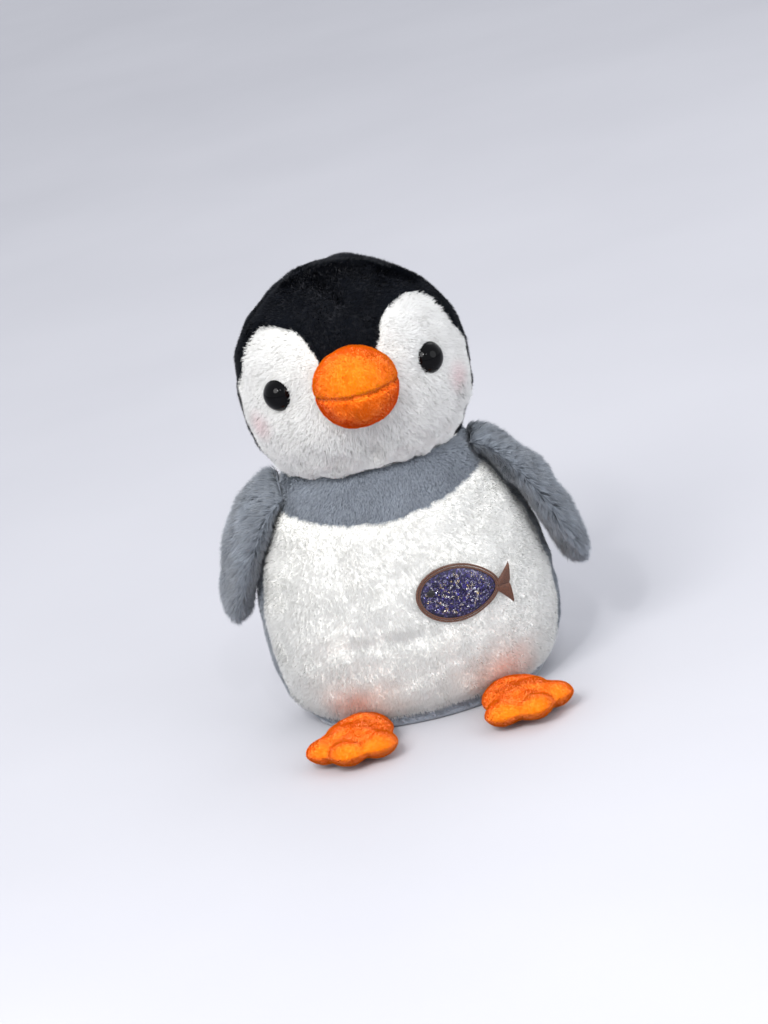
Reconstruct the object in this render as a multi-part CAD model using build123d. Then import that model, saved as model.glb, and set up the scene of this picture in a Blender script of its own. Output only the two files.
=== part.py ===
"""Plush penguin, 228 mm tall: sewn fabric panels over filling, safety eyes, beak, wings and feet.

Millimetres, +Z up. The origin is the centre of the flat base. The penguin faces -Y, so its own
left side is at +X. Every soft part is a plain closed solid of its outer size, pile included.
"""
from build123d import *
from math import cos, hypot, radians, sin, sqrt
import os

# Whole toy
NECK_Z = 129.5          # height of the neck seam
HEAD_TOP_Z = 228.0
CLEARANCE = 0.3         # gap between a fabric and what lies behind or on it
NECK_GAP = 1.2          # gap between the head and the torso, which turn on each other
PILE = 4.0              # plush fabric with its pile
VELBOA = 1.6            # short-pile fabric of the beak and feet
BIG = 300.0             # larger than the toy, for cutting tools

# Torso: half width against height, then squeezed front to back
TORSO_WIDTH = 148.6
TORSO_DEPTH = 110.0
TORSO_PROFILE = [
    (46.0, 133.5),
    (54.0, 116.0),
    (64.5, 95.0),
    (71.2, 74.5),
    (74.3, 45.0),
    (71.6, 22.0),
    (64.0, 6.0),
    (52.0, -4.0),
]
FRONT_SEAM_Y = -10.0    # side seams between the front panels and the back panels
BASE_SEAM_Z = 5.0       # seam round the base panel
BELLY_TOP_Z = 105.5     # lowest point of the belly's hollow top edge
BELLY_TOP_RADIUS = 150.0

# Head: half width against height, then squeezed front to back
HEAD_WIDTH = 115.2
HEAD_DEPTH = 100.0
HEAD_PROFILE = [
    (0.0, HEAD_TOP_Z),
    (29.0, 218.0),
    (50.0, 198.5),
    (57.5, 169.5),
    (54.2, 147.5),
    (42.5, 125.5),
]
FACE_LOBE = [           # upper edge of one white cheek, from the beak outwards
    (0.0, 176.0),
    (11.5, 183.0),
    (14.5, 190.5),
    (16.8, 196.0),
    (18.8, 201.0),
    (22.5, 204.5),
    (29.0, 206.6),
    (36.5, 206.6),
    (43.5, 201.5),
    (49.5, 193.0),
    (54.5, 180.0),
    (66.0, 158.0),
]
FACE_LOWER_Z = 107.0    # below the head, where the cutter of a cheek ends
FACE_SEAM = Plane(origin=(0.0, -6.0, 180.0), z_dir=(0.0, 1.0, -0.16))

# Safety eyes
EYE_X = 38.7
EYE_Z = 176.5
EYE_RING_RADIUS = 56.9  # half width of the head at the height of the eyes
EYE_RISE = 2.0          # upward part of the direction that an eye faces
EYE_DIAMETER = 15.5
EYE_DOME = 5.5          # height of the dome over its rim
EYE_SUNK = 2.0          # depth of the rim in the pile
EYE_STEM_RADIUS = 2.0
EYE_STEM_LENGTH = 11.0
WASHER_RADIUS = 6.5
WASHER_THICKNESS = 1.4
WASHER_GAP = 2.3        # from the rim of the eye to its washer

# Beak
BEAK_CENTRE = (0.0, -55.0, 177.0)
BEAK_RADIUS = 20.0

# Wings: stations from the root to the tip as (x, z, half thickness, half width)
WING_STATIONS = [
    (56.5, 120.2, 2.2, 12.0),
    (60.3, 115.6, 4.2, 16.5),
    (66.0, 107.5, 5.4, 20.0),
    (73.5, 95.0, 6.4, 22.5),
    (79.7, 80.0, 6.3, 21.5),
    (84.2, 66.0, 5.2, 16.5),
    (87.4, 55.5, 3.2, 8.5),
    (88.6, 51.5, 1.4, 3.5),
]
WING_CORE = 0.66        # the filling's share of each station
WING_HINGE_Z = 117.8
RIGHT_WING_BACK = 20.0  # the right wing is sewn on pointing this far backwards

# Feet: three round toes on a round heel, pressed flat, in the foot's own frame with +Y forward
FOOT_HINGE_X = 36.0
FOOT_HINGE_Y = -46.5
FOOT_Z = 7.5
TOES_OUT = 17.0
FOOT_FLATNESS = 0.42
HEEL_RADIUS = 16.0
HEEL_FORWARD = 12.0
TOE_RADIUS = 9.2
TOE_FORWARD = 32.5
TOE_SPREAD = (-42.0, 0.0, 42.0)

# Fish patch on the belly
FISH_X = 23.7
FISH_Z = 64.0
FISH_RADII = (20.8, 14.0)
FISH_BORDER = 2.5
FISH_THICKNESS = 1.4
FISH_LAYER_HEIGHT = 40.0
FISH_EYE_RADIUS = 1.9
FISH_DROOP = 7.0        # degrees that the tail hangs lower than the mouth
FISH_EYE = (-13.5, 1.5) # from the middle of the fish
FISH_TAIL = [(18.3, -0.6), (26.8, 8.8), (24.6, -0.8), (27.2, -10.6)]


def slab(low, high):
    """Everything between two heights."""
    return Pos(0, 0, (low + high) / 2) * Box(BIG, BIG, high - low)


def grown(profile, distance):
    """The profile moved outwards by a distance, along its own normals."""
    moved = []
    last = len(profile) - 1
    for index, (radius, height) in enumerate(profile):
        before = profile[max(index - 1, 0)]
        after = profile[min(index + 1, last)]
        step_r = after[0] - before[0]
        step_z = after[1] - before[1]
        if radius == 0:
            step_r, step_z = 1.0, 0.0
        length = hypot(step_r, step_z)
        moved_r = radius - distance * step_z / length if radius else 0.0
        moved.append((moved_r, height + distance * step_r / length))
    return moved


def half_face(profile):
    """The area between the axis and a profile, on XZ."""
    points = [Vector(radius, 0, height) for radius, height in profile]
    if points[0].X == 0:
        side = Spline(points, tangents=[(1, 0, 0), (-0.4, 0, -1)])
    else:
        side = Spline(points)
    top = Vector(0, 0, points[0].Z)
    bottom = Vector(0, 0, points[-1].Z)
    edges = side.edges() + Polyline(points[-1], bottom, top).edges()
    if points[0].X > 0:
        edges = edges + Line(top, points[0]).edges()
    return make_face(edges)


def above(face, low):
    """The part of a face on XZ that lies above a height."""
    reach = Plane.XZ * Pos(BIG / 2, low + BIG / 2) * Rectangle(BIG, BIG)
    return face & reach


def squeezed(face, width, depth, start=0.0, turn=360.0):
    """A face turned round Z through part of a turn, then squeezed from width to depth."""
    solid = revolve(face.rotate(Axis.Z, start), Axis.Z, turn)
    return scale(solid, by=(1, depth / width, 1))


def torso_turned(face, start=0.0, turn=360.0):
    return squeezed(face, TORSO_WIDTH, TORSO_DEPTH, start, turn)


def head_turned(face, start=0.0, turn=360.0):
    return squeezed(face, HEAD_WIDTH, HEAD_DEPTH, start, turn)


def front_prism(face):
    """A face drawn on XZ, pushed forward through the front half of the toy."""
    return extrude(face, BIG, dir=(0, -1, 0))


def belly_side():
    """Everything below the belly's hollow top edge."""
    reach = BIG / 2
    centre_z = BELLY_TOP_Z + BELLY_TOP_RADIUS
    end_z = centre_z - sqrt(BELLY_TOP_RADIUS**2 - reach**2)
    top = ThreePointArc((-reach, 0, end_z), (0, 0, BELLY_TOP_Z), (reach, 0, end_z))
    rest = Polyline((reach, 0, end_z), (reach, 0, -BIG), (-reach, 0, -BIG), (-reach, 0, end_z))
    return front_prism(make_face(top.edges() + rest.edges()))


def torso_parts():
    inside = above(half_face(grown(TORSO_PROFILE, -PILE)), PILE)
    core = above(half_face(grown(TORSO_PROFILE, -PILE - CLEARANCE)), PILE + CLEARANCE)
    kept = slab(0, NECK_Z - NECK_GAP / 2)
    shell = torso_turned(half_face(TORSO_PROFILE) - inside) & kept
    front = Pos(0, FRONT_SEAM_Y - BIG / 2, 0) * Box(BIG, BIG, BIG * 2)
    left = Pos(BIG / 2, 0, 0) * Box(BIG, BIG, BIG * 2)
    upper = shell & slab(BASE_SEAM_Z, BIG)
    front_shell = upper & front
    back_shell = upper - front
    return {
        "torso_filling": torso_turned(core) & kept,
        "base_panel": shell & slab(-BIG, BASE_SEAM_Z),
        "belly_panel": front_shell & belly_side(),
        "collar_panel": front_shell - belly_side(),
        "back_panel_left": back_shell & left,
        "back_panel_right": back_shell - left,
    }


def face_half(side):
    """The prism that one white cheek is cut with, on the side +1 or -1."""
    points = [Vector(side * x, 0, z) for x, z in FACE_LOBE]
    upper = Spline(points)
    corner_x = points[-1].X
    lower = Polyline(points[-1], (corner_x, 0, FACE_LOWER_Z), (0, 0, FACE_LOWER_Z), points[0])
    prism = front_prism(make_face(upper.edges() + lower.edges()))
    return split(prism, bisect_by=FACE_SEAM, keep=Keep.BOTTOM)


def eye_plane(side):
    """The plane of one eye's rim, facing out of the head."""
    squeeze = HEAD_DEPTH / HEAD_WIDTH
    y = -squeeze * sqrt(EYE_RING_RADIUS**2 - EYE_X**2)
    normal = Vector(side * EYE_X * squeeze**2, y, EYE_RISE).normalized()
    surface = Vector(side * EYE_X, y, EYE_Z)
    return Plane(origin=surface - normal * EYE_SUNK, z_dir=normal)


def eye(side):
    """A domed plastic eye on a stem."""
    rim = EYE_DIAMETER / 2
    ball = (rim**2 + EYE_DOME**2) / (2 * EYE_DOME)
    dome = Pos(0, 0, EYE_DOME - ball) * Sphere(ball)
    dome = dome & (Pos(0, 0, BIG / 2) * Box(BIG, BIG, BIG))
    stem = Pos(0, 0, -EYE_STEM_LENGTH / 2) * Cylinder(EYE_STEM_RADIUS, EYE_STEM_LENGTH)
    return eye_plane(side).location * (dome + stem)


def eye_washer(side):
    """The ratchet washer that holds an eye's stem behind the fabric."""
    ring = Cylinder(WASHER_RADIUS, WASHER_THICKNESS) - Cylinder(EYE_STEM_RADIUS, WASHER_THICKNESS)
    return eye_plane(side).location * Pos(0, 0, -WASHER_GAP - WASHER_THICKNESS / 2) * ring


def beak_parts(face_front):
    """Two sewn panels round a ball of filling, sewn onto the face."""
    place = Pos(*BEAK_CENTRE)
    shell = place * (Sphere(BEAK_RADIUS) - Sphere(BEAK_RADIUS - VELBOA)) - face_front
    mouth = BEAK_CENTRE[2]
    return {
        "beak_filling": place * Sphere(BEAK_RADIUS - VELBOA - CLEARANCE) - face_front,
        "beak_upper_panel": shell & slab(mouth, BIG),
        "beak_lower_panel": shell & slab(-BIG, mouth),
    }


def head_parts():
    whole = half_face(HEAD_PROFILE)
    fabric = whole - half_face(grown(HEAD_PROFILE, -PILE))
    core = half_face(grown(HEAD_PROFILE, -PILE - CLEARANCE))
    kept = slab(NECK_Z + NECK_GAP / 2, BIG)
    eyes = {"left_eye": eye(1), "right_eye": eye(-1)}
    washers = {"left_eye_washer": eye_washer(1), "right_eye_washer": eye_washer(-1)}
    front_core = head_turned(core, -180, 180)
    for fitting in [*eyes.values(), *washers.values()]:
        front_core = front_core - fitting
    face_left = head_turned(fabric, -90, 90) & kept & face_half(1)
    face_right = head_turned(fabric, -180, 90) & kept & face_half(-1)
    return {
        "head_filling": (front_core + head_turned(core, 0, 180)) & kept,
        "face_panel_left": face_left - eyes["left_eye"] - washers["left_eye_washer"],
        "face_panel_right": face_right - eyes["right_eye"] - washers["right_eye_washer"],
        "forehead_panel": (head_turned(fabric, -180, 180) & kept) - face_half(1) - face_half(-1),
        "back_head_panel_left": head_turned(fabric, 0, 90) & kept,
        "back_head_panel_right": head_turned(fabric, 90, 90) & kept,
        **eyes,
        **washers,
        **beak_parts(head_turned(whole, -140, 100)),
    }


def wing_planes():
    """The plane across each station of the left wing, its own Y facing outwards."""
    last = len(WING_STATIONS) - 1
    for index, (x, z, _, _) in enumerate(WING_STATIONS):
        before = WING_STATIONS[max(index - 1, 0)]
        after = WING_STATIONS[min(index + 1, last)]
        along = Vector(after[0] - before[0], 0, after[1] - before[1])
        yield Plane(origin=(x, 0, z), x_dir=(0, 1, 0), z_dir=along)


def wing_fabric(start_angle):
    """One face of the wing: a curved sheet over half of each station's ellipse."""
    sections = []
    for plane, (_, _, thickness, width) in zip(wing_planes(), WING_STATIONS):
        core_width = width * WING_CORE
        core_thickness = thickness * WING_CORE
        outer = EllipticalCenterArc((0, 0), width, thickness, start_angle, arc_size=180)
        inner = EllipticalCenterArc((0, 0), core_width, core_thickness, start_angle, arc_size=180)
        edges = outer.edges() + Line(outer @ 1, inner @ 1).edges() + inner.edges()
        edges = edges + Line(inner @ 0, outer @ 0).edges()
        sections.append(plane * make_face(edges))
    return loft(sections)


def wing_parts():
    """The left wing's outer and inner fabric and its filling."""
    sections = []
    for plane, (_, _, thickness, width) in zip(wing_planes(), WING_STATIONS):
        core_width = width * WING_CORE - CLEARANCE
        core_thickness = thickness * WING_CORE - CLEARANCE
        sections.append(plane * Ellipse(core_width, core_thickness))
    return {
        "outer_panel": wing_fabric(0),
        "inner_panel": wing_fabric(180),
        "filling": loft(sections),
    }


def toe(radius):
    """A round-ended rod from the heel's centre forwards, turned about its own length."""
    length = TOE_FORWARD - HEEL_FORWARD
    rear = Polyline((0, -radius / 2), (0, length + radius))
    side = Line((radius, 0), (radius, length))
    start = CenterArc((0, 0), radius, -30, 30)
    nose = CenterArc((0, length), radius, 0, 90)
    base = Polyline((0, -radius / 2), start @ 0)
    edges = rear.edges() + side.edges() + start.edges() + nose.edges() + base.edges()
    return revolve(make_face(edges), Axis.Y, 360)


def foot_ball(distance):
    """A heel and three round toes, shrunk by a distance, before they are pressed flat."""
    heel = Pos(0, HEEL_FORWARD, 0)
    pad = heel * Sphere(HEEL_RADIUS - distance)
    for angle in TOE_SPREAD:
        pad = pad + heel * Rot(0, 0, angle) * toe(TOE_RADIUS - distance)
    return pad


def foot_parts():
    """The left foot's top, sole and filling, in place."""
    place = Pos(FOOT_HINGE_X, FOOT_HINGE_Y, FOOT_Z) * Rot(0, 0, 180 + TOES_OUT)
    flat = (1, 1, FOOT_FLATNESS)
    shell = foot_ball(0) - foot_ball(VELBOA)
    core = foot_ball(VELBOA + CLEARANCE)
    return {
        "top_panel": place * scale(shell & slab(0, BIG), by=flat),
        "sole_panel": place * scale(shell & slab(-BIG, 0), by=flat),
        "filling": place * scale(core, by=flat),
    }


def front_layer(low, high):
    """A thin patch over the front of the torso, between two distances from it."""
    layer = half_face(grown(TORSO_PROFILE, high)) - half_face(grown(TORSO_PROFILE, low))
    band = Plane.XZ * Pos(BIG / 2, FISH_Z) * Rectangle(BIG, FISH_LAYER_HEIGHT)
    return torso_turned(layer & band, -110, 80)


def fish_parts():
    """The fish sewn on the belly: a glitter body in a satin border, a tail and an eye."""
    place = Plane.XZ * Pos(FISH_X, FISH_Z) * Rot(0, 0, -FISH_DROOP)
    inside = place * Ellipse(FISH_RADII[0] - FISH_BORDER, FISH_RADII[1] - FISH_BORDER)
    rim = place * Ellipse(*FISH_RADII) - inside
    tail_edges = Polyline(*FISH_TAIL, FISH_TAIL[0])
    tail = place * make_face(tail_edges.edges()) - place * Ellipse(*FISH_RADII)
    eye_disc = place * Pos(*FISH_EYE) * Circle(FISH_EYE_RADIUS)
    layer = front_layer(CLEARANCE, FISH_THICKNESS)
    upper_layer = front_layer(FISH_THICKNESS + CLEARANCE, FISH_THICKNESS * 2)
    return {
        "fish_patch": layer & front_prism(inside),
        "fish_border": layer & front_prism(rim),
        "fish_tail": layer & front_prism(tail),
        "fish_eye": upper_layer & front_prism(eye_disc),
    }


def both_sides(parts, name, right_back=0.0):
    """The left member's parts and their mirror images on the right, which may point backwards."""
    swing = Pos(0, 0, WING_HINGE_Z) * Rot(right_back, 0, 0) * Pos(0, 0, -WING_HINGE_Z)
    paired = {}
    for part_name, shape in parts.items():
        paired[f"left_{name}_{part_name}"] = shape
        paired[f"right_{name}_{part_name}"] = swing * mirror(shape, about=Plane.YZ)
    return paired


nodes = {
    **torso_parts(),
    **fish_parts(),
    **head_parts(),
    **both_sides(wing_parts(), "wing", RIGHT_WING_BACK),
    **both_sides(foot_parts(), "foot"),
}

os.makedirs("parts", exist_ok=True)
for node_name, node_shape in nodes.items():
    export_step(node_shape, f"parts/{node_name}.step")
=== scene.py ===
"""Plush penguin: sewn skins covered with real pile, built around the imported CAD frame. Metres."""
import math

import bpy
import numpy as np
from mathutils import Matrix, Vector
from mathutils.bvhtree import BVHTree


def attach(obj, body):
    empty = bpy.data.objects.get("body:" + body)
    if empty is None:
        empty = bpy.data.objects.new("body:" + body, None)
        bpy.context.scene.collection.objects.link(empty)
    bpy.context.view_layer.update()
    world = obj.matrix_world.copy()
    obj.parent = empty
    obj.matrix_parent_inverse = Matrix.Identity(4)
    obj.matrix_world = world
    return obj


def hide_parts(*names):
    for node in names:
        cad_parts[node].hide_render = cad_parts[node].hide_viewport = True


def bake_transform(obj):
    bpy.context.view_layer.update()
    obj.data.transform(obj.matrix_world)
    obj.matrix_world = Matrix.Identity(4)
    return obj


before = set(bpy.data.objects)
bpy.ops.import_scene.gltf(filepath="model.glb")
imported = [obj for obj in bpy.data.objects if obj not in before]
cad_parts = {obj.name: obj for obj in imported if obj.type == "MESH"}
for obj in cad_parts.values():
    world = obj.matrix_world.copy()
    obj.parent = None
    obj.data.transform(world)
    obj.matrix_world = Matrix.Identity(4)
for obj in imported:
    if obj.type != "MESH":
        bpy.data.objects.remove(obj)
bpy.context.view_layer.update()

# ---- driving dimensions
NECK_Z = 0.1295
TORSO_CENTRE_Z = 0.060
HEAD_CENTRE_Z = 0.170
TORSO_SQUEEZE = 110.0 / 148.6  # depth over width
HEAD_SQUEEZE = 100.0 / 115.2
FRONT_SEAM_Y = -0.010
BASE_SEAM_Z = 0.005
BELLY_TOP_Z = 0.1055
BELLY_TOP_RADIUS = 0.150
PILE_DEPTH = 0.0019  # how far the cloth lies below the tips of the pile
CLOTH = 0.0009  # thickness of the backing cloth
DEEPEST = -0.0013  # below this the cloth would sink into the filling
EYE_X = 0.0387
EYE_Z = 0.1765
BEAK_CENTRE = np.array([0.0, -0.055, 0.177])
BEAK_RADIUS = 0.020
FISH_X = 0.0237
FISH_Z = 0.064
FISH_RADII = (0.0208, 0.0140)
FISH_BORDER = 0.0024
FISH_DROOP = math.radians(9.0)  # the tail hangs lower than the mouth
TAIL_UP = -0.0009  # the middle of the tail, above the fish's middle line
FOOT_HINGE = np.array([0.036, -0.0465, 0.0075])
TOES_OUT = math.radians(17.0)
WING_HINGE_Z = 0.1178
WING_BACK = {"left": 0.0, "right": math.radians(20.0)}  # how far each wing points backwards
SIDES = (("left", 1.0), ("right", -1.0))


# ---- small tools
def unit(vectors):
    return vectors / np.maximum(np.linalg.norm(vectors, axis=-1, keepdims=True), 1e-12)


def waves(points, size, seed):
    """Smooth noise, mostly from -1 to 1, with features of about the given size."""
    rng = np.random.default_rng(seed)
    total = np.zeros(len(points))
    for _ in range(7):
        direction = unit(rng.normal(size=3)) * (2 * math.pi / (size * rng.uniform(0.7, 1.5)))
        total += np.sin(points @ direction + rng.uniform(0, 2 * math.pi))
    return total / 3.5


def smooth_curve(knots, count=240):
    """A smooth curve through knots, sampled evenly in its parameter (Catmull-Rom)."""
    knots = np.asarray(knots, float)
    ends = np.vstack([2 * knots[0] - knots[1], knots, 2 * knots[-1] - knots[-2]])
    at = np.linspace(0, len(knots) - 1, count)
    index = np.minimum(at.astype(int), len(knots) - 2)
    t = (at - index)[:, None]
    a, b, c, d = (ends[index + n] for n in range(4))
    cubic = (3 * (b - c) + d - a) * t**3 + (2 * a - 5 * b + 4 * c - d) * t**2
    return 0.5 * (2 * b + (c - a) * t + cubic)


def grid_faces(rows, columns, wrap):
    """Quads of a grid whose rows run down and whose columns run anticlockwise from above."""
    last = columns if wrap else columns - 1
    row, column = np.meshgrid(np.arange(rows - 1), np.arange(last), indexing="ij")
    after = (column + 1) % columns
    here = row * columns
    quads = [here + column, here + columns + column, here + columns + after, here + after]
    return np.stack(quads, axis=-1).reshape(-1, 4)


def vertex_normals(points, faces):
    """Unit normals of a mesh of quads, from the diagonals of the faces round each point."""
    diagonal_a = points[faces[:, 2]] - points[faces[:, 0]]
    diagonal_b = points[faces[:, 3]] - points[faces[:, 1]]
    face_normals = np.cross(diagonal_a, diagonal_b)
    normals = np.zeros_like(points)
    for corner in range(4):
        np.add.at(normals, faces[:, corner], face_normals)
    return unit(normals)


class Patch:
    """Part of a surface: points, outward normals and quads."""

    def __init__(self, points, normals, faces):
        used, inverse = np.unique(faces, return_inverse=True)
        self.points = points[used].copy()
        self.normals = normals[used].copy()
        self.faces = inverse.reshape(faces.shape)

    def rim(self):
        """The directed edges that only one face has."""
        edges = np.vstack([self.faces[:, [n, (n + 1) % 4]] for n in range(4)])
        ordered = np.sort(edges, axis=1)
        _, first, counts = np.unique(ordered, axis=0, return_index=True, return_counts=True)
        return edges[first[counts == 1]]

    def smooth_rim(self, times=6, pinned=None):
        """Straightens the stepped edge that a seam leaves in the grid, but for the pinned points."""
        rim = self.rim()
        free = np.ones(len(self.points), bool) if pinned is None else ~pinned(self.points)
        for _ in range(times):
            total = np.zeros_like(self.points)
            count = np.zeros(len(self.points))
            for a, b in ((0, 1), (1, 0)):
                np.add.at(total, rim[:, a], self.points[rim[:, b]])
                np.add.at(count, rim[:, a], 1)
            on = (count == 2) & free
            self.points[on] = 0.5 * self.points[on] + 0.25 * total[on]
        return self


def placed(name, data):
    thing = bpy.data.objects.new(name, data)
    bpy.context.scene.collection.objects.link(thing)
    return thing


def add_object(name, points, faces, material, smooth=True):
    mesh = bpy.data.meshes.new(name)
    mesh.from_pydata(points.tolist(), [], [list(map(int, face)) for face in faces])
    mesh.polygons.foreach_set("use_smooth", [smooth] * len(mesh.polygons))
    mesh.materials.append(material)
    mesh.update()
    return placed(name, mesh)


def shell(name, patch, material, depth=PILE_DEPTH, thickness=CLOTH):
    """A closed sheet of cloth that lies a given depth below a patch."""
    outer = patch.points - patch.normals * depth
    inner = outer - patch.normals * thickness
    count = len(outer)
    rim = patch.rim()
    walls = np.stack([rim[:, 1], rim[:, 0], rim[:, 0] + count, rim[:, 1] + count], axis=1)
    faces = np.vstack([patch.faces, patch.faces[:, ::-1] + count, walls])
    return add_object(name, np.vstack([outer, inner]), faces, material)


MOST_FIBRES = 66000
CELL_TURN = np.linalg.qr(np.random.default_rng(5).normal(size=(3, 3)))[0]  # turns the grid of tufts
CELL_WARP = 0.0011
CELL_WARP_SIZE = 0.007
BLADE_LOOP = np.array([0, 1, 3, 2, 2, 3, 4])  # a quad from the root and a triangle to the tip
# root to tip tone of each blade: darker towards the root, painted shade deep in the pile
BLADE_SHADES = np.array([[0.45, 0.45, 0.8, 0.8, 1.0]])
BLADE_UV = np.array([[0.1, 0.1], [0.9, 0.1], [0.9, 0.5], [0.1, 0.5], [0.1, 0.5], [0.9, 0.5], [0.5, 0.9]])


def swirls(points, size, seed):
    """A smooth random vector at each point."""
    return np.stack([waves(points, size, seed + n) for n in range(3)], axis=1)


def tuft_pulls(root, normal, size):
    """From each root to the middle of its tuft, along the surface."""
    warped = root @ CELL_TURN + CELL_WARP * swirls(root, CELL_WARP_SIZE, 11)
    cell = np.floor(warped / size)
    mix = np.sin(cell @ np.array([12.9898, 78.233, 37.719])) * 43758.5453
    jitter = np.stack([mix % 1, (mix * 7.13) % 1, (mix * 3.71) % 1], axis=1)
    centre = (cell + 0.1 + 0.8 * jitter) * size
    pull = (centre - warped) @ CELL_TURN.T
    pull -= normal * np.sum(pull * normal, axis=1, keepdims=True)
    return pull


def pile(name, patch, material, spec, comb, keep=None, seed=1):
    """Real fibres rooted on a patch, combed along a direction field and drawn into tufts.

    spec holds per_mm2, length, width, lean, tuft and tuft_pull, and may hold depth, grow and uneven;
    comb maps points and normals to directions; keep maps roots to True where fibres grow."""
    rng = np.random.default_rng(seed)
    corners = patch.points[patch.faces]
    area = 0.5 * np.linalg.norm(
        np.cross(corners[:, 2] - corners[:, 0], corners[:, 3] - corners[:, 1]), axis=1
    )
    count = min(int(area.sum() * 1e6 * spec["per_mm2"]), MOST_FIBRES)
    chosen = rng.choice(len(area), size=count, p=area / area.sum())
    u, v = rng.random((2, count, 1))
    weights = [(1 - u) * (1 - v), u * (1 - v), u * v, (1 - u) * v]
    face = patch.faces[chosen]
    root = sum(w * patch.points[face[:, n]] for n, w in enumerate(weights))
    normal = unit(sum(w * patch.normals[face[:, n]] for n, w in enumerate(weights)))
    if keep is not None:
        kept = keep(root)
        root, normal = root[kept], normal[kept]
        count = len(root)
    flow = comb(root, normal)
    flow = unit(flow - normal * np.sum(flow * normal, axis=1, keepdims=True))
    pull = tuft_pulls(root, normal, spec["tuft"])
    length = spec["length"] * rng.uniform(0.72, 1.12, (count, 1))
    if "grow" in spec:
        length *= spec["grow"](root)
    length *= 1 + 0.18 * waves(root, spec["tuft"] * 5, seed + 7)[:, None]
    stray = rng.normal(scale=0.25, size=(count, 3))
    lean = spec["lean"] * (1 + 0.35 * waves(root, spec["tuft"] * 4, seed + 9)[:, None])
    early = unit(normal + flow * lean * 0.5 + stray * 0.6)
    late = unit(normal * 0.75 + flow * lean * 1.3 + stray)
    root = root - normal * spec.get("depth", PILE_DEPTH)
    middle = root + early * length * 0.5 + pull * spec["tuft_pull"] * 0.4
    tip = middle + late * length * 0.5 + pull * spec["tuft_pull"] * 0.6
    across = unit(np.cross(flow, normal) + 0.45 * rng.normal(size=(count, 3)))
    facing = np.sum(np.cross(across, late) * normal, axis=1, keepdims=True)
    across = np.where(facing < 0, -across, across) * spec["width"] * 0.5
    shape = np.stack(
        [root - across, root + across, middle - across * 0.8, middle + across * 0.8, tip], axis=1
    )
    loops = (np.arange(count)[:, None] * 5 + BLADE_LOOP).reshape(-1)
    starts = (np.arange(count)[:, None] * len(BLADE_LOOP) + np.array([0, 4])).reshape(-1)
    mesh = bpy.data.meshes.new(name)
    mesh.vertices.add(count * 5)
    mesh.vertices.foreach_set("co", shape.reshape(-1))
    mesh.loops.add(len(loops))
    mesh.loops.foreach_set("vertex_index", loops)
    mesh.polygons.add(len(starts))
    mesh.polygons.foreach_set("loop_start", starts)
    mesh.update(calc_edges=True)
    mesh.polygons.foreach_set("use_smooth", np.ones(len(starts), bool))
    # the blade's root-to-tip tone, for painted shade deep in the pile
    shade = mesh.attributes.new("shade", "FLOAT", "POINT")
    tone = rng.uniform(0.82, 1.0, (count, 1)) * BLADE_SHADES
    shade.data.foreach_set("value", tone.reshape(-1).astype(np.float32))
    uneven = rng.normal(scale=spec.get("uneven", 0.16), size=(count, 3))
    lit = unit(normal * 0.9 + late * 0.25 + uneven)
    mesh.normals_split_custom_set_from_vertices(np.repeat(lit, 5, axis=0).tolist())
    side = math.ceil(math.sqrt(count))
    place = np.stack([np.arange(count) % side, np.arange(count) // side], axis=1)[:, None, :]
    layer = mesh.uv_layers.new(name="OFBake")
    layer.data.foreach_set("uv", ((place + BLADE_UV) / side).reshape(-1))
    mesh.materials.append(material)
    return placed(name, mesh)


# ---- materials
def preset(node, values):
    for name, value in values.items():
        node.inputs[name].default_value = value
    return node


def node_of(material, kind):
    return next(node for node in material.node_tree.nodes if node.type == kind)


def new_material(name):
    material = bpy.data.materials.new(name)
    material.use_nodes = True
    tree = material.node_tree
    return material, tree.nodes, tree.links, node_of(material, "BSDF_PRINCIPLED")


def object_coordinates(nodes):
    return nodes.new("ShaderNodeTexCoord").outputs["Object"]


def noise(nodes, links, scale, detail=3.0):
    node = preset(nodes.new("ShaderNodeTexNoise"), {"Scale": scale, "Detail": detail})
    links.new(object_coordinates(nodes), node.inputs["Vector"])
    return node.outputs["Fac"]


def ramp(nodes, links, factor, stops):
    node = nodes.new("ShaderNodeValToRGB")
    while len(node.color_ramp.elements) < len(stops):
        node.color_ramp.elements.new(0.5)
    for element, (position, colour) in zip(node.color_ramp.elements, stops):
        element.position = position
        element.color = (*colour, 1)
    links.new(factor, node.inputs["Fac"])
    return node.outputs["Color"]


def mixed(nodes, links, factor, first, second, mode="MIX"):
    node = nodes.new("ShaderNodeMix")
    node.data_type = "RGBA"
    node.blend_type = mode
    for socket, value in ((node.inputs["Factor"], factor), (node.inputs[6], first), (node.inputs[7], second)):
        if isinstance(value, (int, float)):
            socket.default_value = value
        elif isinstance(value, tuple):
            socket.default_value = (*value, 1)
        else:
            links.new(value, socket)
    return node.outputs[2]


def arithmetic(nodes, links, operation, value, other=0.0):
    node = nodes.new("ShaderNodeMath")
    node.operation = operation
    node.inputs[1].default_value = other
    links.new(value, node.inputs[0])
    return node.outputs[0]


def fading(nodes, links, distance, reach):
    """1 at no distance, falling to 0 at the reach."""
    fade = preset(nodes.new("ShaderNodeMapRange"), {"From Max": reach, "To Min": 1.0, "To Max": 0.0})
    fade.interpolation_type = "SMOOTHSTEP"
    links.new(distance, fade.inputs["Value"])
    return fade.outputs["Result"]


def near(nodes, links, place, reach):
    """1 at a place, falling to 0 at a distance."""
    distance = nodes.new("ShaderNodeVectorMath")
    distance.operation = "DISTANCE"
    links.new(object_coordinates(nodes), distance.inputs[0])
    distance.inputs[1].default_value = place
    return fading(nodes, links, distance.outputs["Value"], reach)


def near_height(nodes, links, height, reach):
    """1 at a height, falling to 0 at a distance above or below it."""
    split = nodes.new("ShaderNodeSeparateXYZ")
    links.new(object_coordinates(nodes), split.inputs[0])
    away = arithmetic(nodes, links, "SUBTRACT", split.outputs["Z"], height)
    return fading(nodes, links, arithmetic(nodes, links, "ABSOLUTE", away), reach)


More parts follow.
